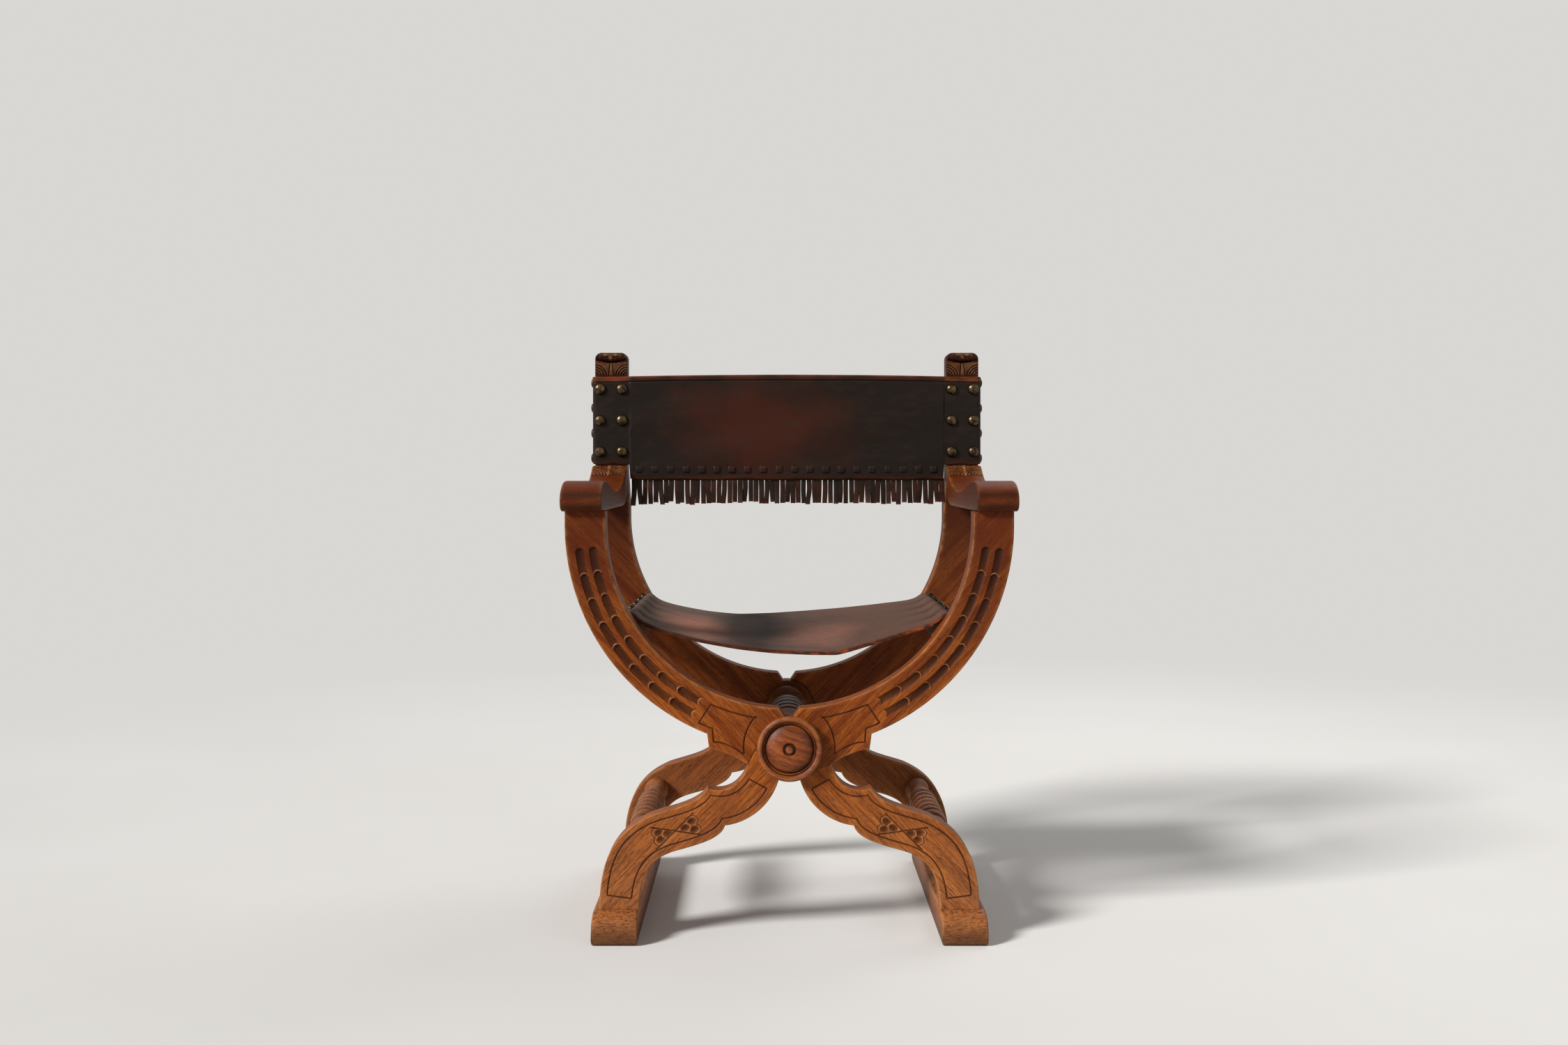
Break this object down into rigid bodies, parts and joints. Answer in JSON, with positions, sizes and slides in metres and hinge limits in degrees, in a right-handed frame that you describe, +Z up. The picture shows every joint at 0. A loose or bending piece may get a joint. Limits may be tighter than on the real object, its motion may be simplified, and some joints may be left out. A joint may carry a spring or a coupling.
{
  "type": "folding x-frame armchair",
  "caption": "Carved oak X-frame armchair that folds on a centre pivot, with a leather sling seat, armrests, turned stretchers and a laced, fringed leather back.",
  "frame": {"origin": "on the floor under the middle of the chair", "axes": "+Z up, the sitter faces -Y, +X to the right of someone who looks at the chair's front"},
  "size_m": [0.6722, 0.522, 0.88],
  "materials": {
    "oak": "waxed and worn, dark in the carving",
    "seat_leather": "worn saddle leather with a soft sheen",
    "back_leather": "dark aged leather",
    "brass": "aged, domed heads"
  },
  "bodies": {
    "left_arm_frame": {"front_left_member": "oak", "rear_left_member": "oak", "left_armrest": "oak", "right_runner": "oak", "right_stretcher": "oak", "left_seat_rail": "oak", "centre_stretcher": "oak", "front_boss": "oak", "rear_boss": "oak", "seat_leather": "seat_leather", "back_leather": "back_leather", "back_fringe": "back_leather", "back_lacing": "back_leather", "left_back_nail_1": "brass", "left_back_nail_2": "brass", "left_back_nail_3": "brass", "left_back_nail_4": "brass", "left_back_nail_5": "brass", "left_back_nail_6": "brass", "left_back_nail_7": "brass", "left_back_nail_8": "brass", "left_back_nail_9": "brass", "left_back_nail_10": "brass", "left_seat_nail_1": "brass", "left_seat_nail_2": "brass", "left_seat_nail_3": "brass", "left_seat_nail_4": "brass", "left_seat_nail_5": "brass", "left_seat_nail_6": "brass", "left_seat_nail_7": "brass", "left_seat_nail_8": "brass"},
    "right_arm_frame": {"front_right_member": "oak", "rear_right_member": "oak", "right_armrest": "oak", "left_runner": "oak", "left_stretcher": "oak", "right_seat_rail": "oak", "right_back_nail_1": "brass", "right_back_nail_2": "brass", "right_back_nail_3": "brass", "right_back_nail_4": "brass", "right_back_nail_5": "brass", "right_back_nail_6": "brass", "right_back_nail_7": "brass", "right_back_nail_8": "brass", "right_back_nail_9": "brass", "right_back_nail_10": "brass", "right_seat_nail_1": "brass", "right_seat_nail_2": "brass", "right_seat_nail_3": "brass", "right_seat_nail_4": "brass", "right_seat_nail_5": "brass", "right_seat_nail_6": "brass", "right_seat_nail_7": "brass", "right_seat_nail_8": "brass"}
  },
  "joints": [
    {"name": "frame_fold", "type": "hinge", "parent": "left_arm_frame", "child": "right_arm_frame", "pos_m": [0, 0, 0.279], "axis": [0, -1, 0], "range_deg": [0, 15], "deforming": ["seat_leather", "back_leather", "back_fringe", "back_lacing"]}
  ]
}
